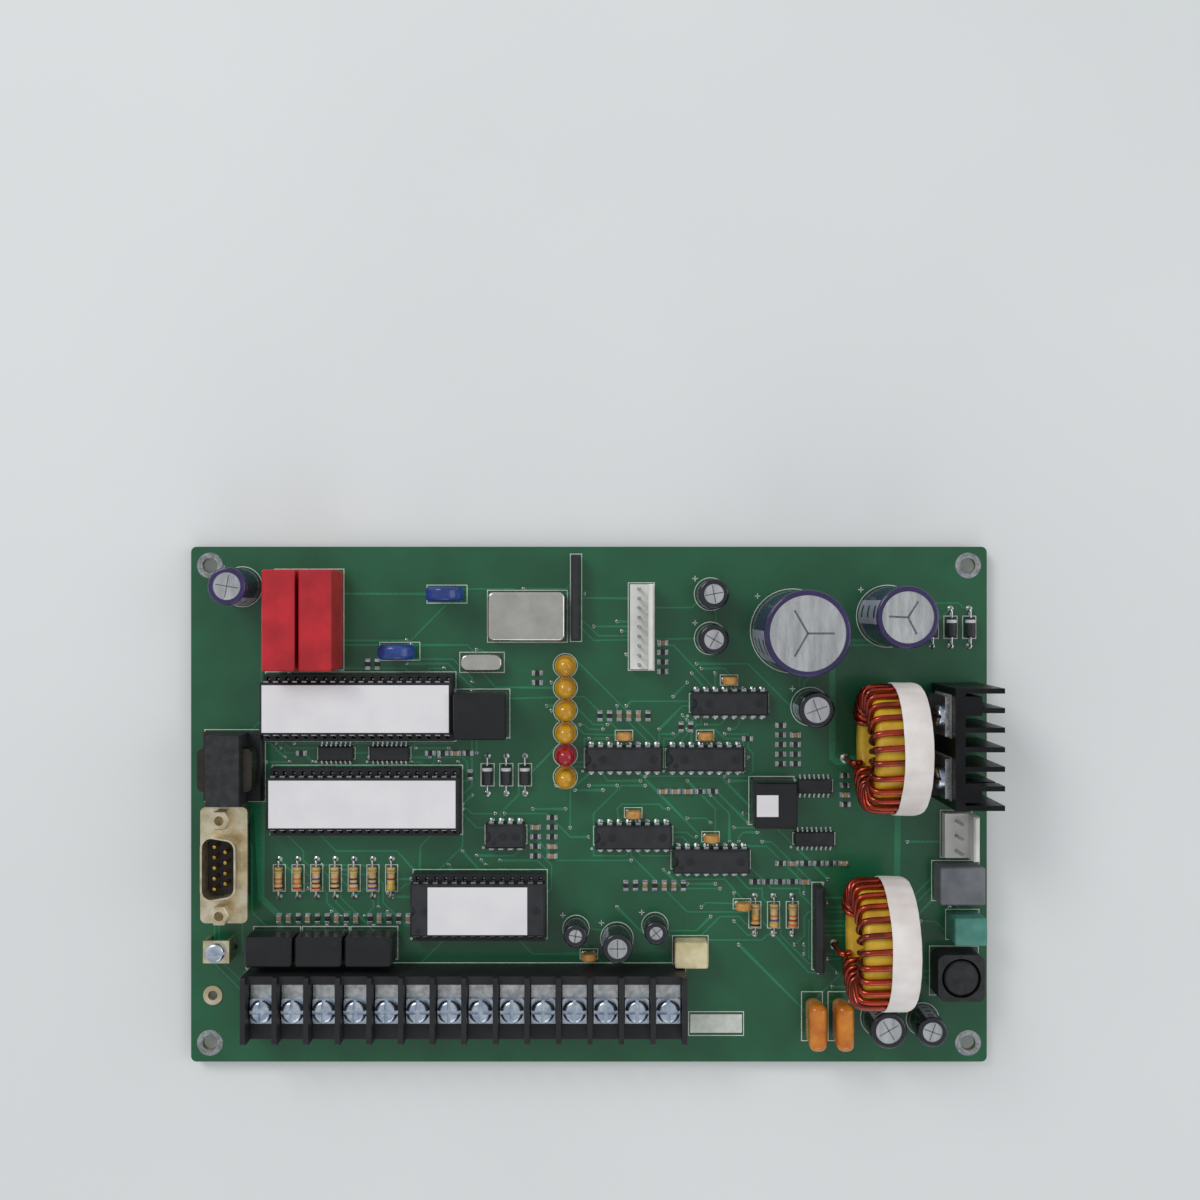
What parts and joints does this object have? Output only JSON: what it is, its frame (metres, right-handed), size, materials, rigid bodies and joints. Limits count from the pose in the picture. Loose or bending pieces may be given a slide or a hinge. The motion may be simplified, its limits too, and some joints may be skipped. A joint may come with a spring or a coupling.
{
  "type": "fire alarm control board",
  "caption": "Populated green control board with socketed chips, barrier terminal strip, upright serial connector, indicator lamps, toroidal chokes and a finned heat sink.",
  "frame": {"origin": "centre of the four mounting holes, on the underside of the board", "axes": "+Z to the component side, +X along the board away from the serial connector, +Y away from the terminal strip"},
  "size_m": [0.216, 0.1396, 0.0375],
  "materials": {
    "board_laminate": "gloss",
    "connector_metal": "satin",
    "black_moulding": "matte",
    "black_gloss": "satin",
    "contact_gold": "satin",
    "tinned_metal": "satin",
    "zinc_steel": "satin",
    "label_paper": "matte",
    "amber_lens": "gloss",
    "red_lens": "gloss",
    "iron_powder": "satin",
    "enamelled_copper": "gloss",
    "cloth_tape": "matte",
    "black_anodised": "satin",
    "pad_grey": "matte",
    "red_film": "satin",
    "can_aluminium": "satin",
    "violet_sleeve": "gloss",
    "dark_sleeve": "gloss",
    "grey_moulding": "matte",
    "teal_moulding": "satin",
    "cream_ceramic": "matte",
    "white_nylon": "satin",
    "amber_resin": "gloss",
    "tan_ceramic": "satin",
    "blue_resin": "gloss",
    "beige_lacquer": "satin",
    "ferrite": "matte",
    "coil_tape": "satin"
  },
  "bodies": {
    "root": {"circuit_board": "board_laminate", "serial_shell": "connector_metal", "serial_insulator": "black_moulding", "serial_contacts": "contact_gold", "serial_brackets": "connector_metal", "serial_jackscrews": "connector_metal", "terminal_body": "black_moulding", "terminal_contacts": "tinned_metal", "terminal_washers": "zinc_steel", "terminal_screws": "zinc_steel", "signal_relays": "black_gloss", "chip_sockets": "black_moulding", "socketed_chips": "black_moulding", "socketed_chip_leads": "tinned_metal", "blank_labels": "label_paper", "socket_contacts": "tinned_metal", "logic_chips": "black_moulding", "logic_leads": "tinned_metal", "surface_chips": "black_moulding", "surface_leads": "tinned_metal", "amber_lamps": "amber_lens", "red_lamp": "red_lens", "choke_cores": "iron_powder", "upper_choke_winding": "enamelled_copper", "lower_choke_winding": "enamelled_copper", "choke_tapes": "cloth_tape", "choke_leads": "enamelled_copper", "heat_sink": "black_anodised", "power_device_bodies": "black_moulding", "power_device_tabs": "tinned_metal", "insulating_pads": "pad_grey", "power_device_screws": "zinc_steel", "film_capacitors": "red_film", "large_capacitor_cans": "can_aluminium", "large_capacitor_sleeves": "violet_sleeve", "small_capacitor_cans": "can_aluminium", "small_capacitor_sleeves": "dark_sleeve", "potted_blocks": "black_gloss", "line_filter": "grey_moulding", "film_block": "teal_moulding", "ceramic_resonator": "cream_ceramic", "transformer_core": "ferrite", "transformer_base": "black_moulding", "transformer_coil": "coil_tape", "inductor_screen": "ferrite", "inductor_drum": "ferrite", "pin_headers": "white_nylon", "header_pins": "tinned_metal", "dipped_capacitors": "amber_resin", "decoupling_capacitors": "tan_ceramic", "varistors": "blue_resin", "resistors": "beige_lacquer", "diodes": "black_gloss", "axial_leads": "tinned_metal", "resistor_networks": "black_gloss", "metal_cans": "tinned_metal", "earth_fittings": "connector_metal", "earth_screw": "zinc_steel", "support_pins": "tinned_metal", "fine_pins": "tinned_metal"}
  },
  "joints": []
}
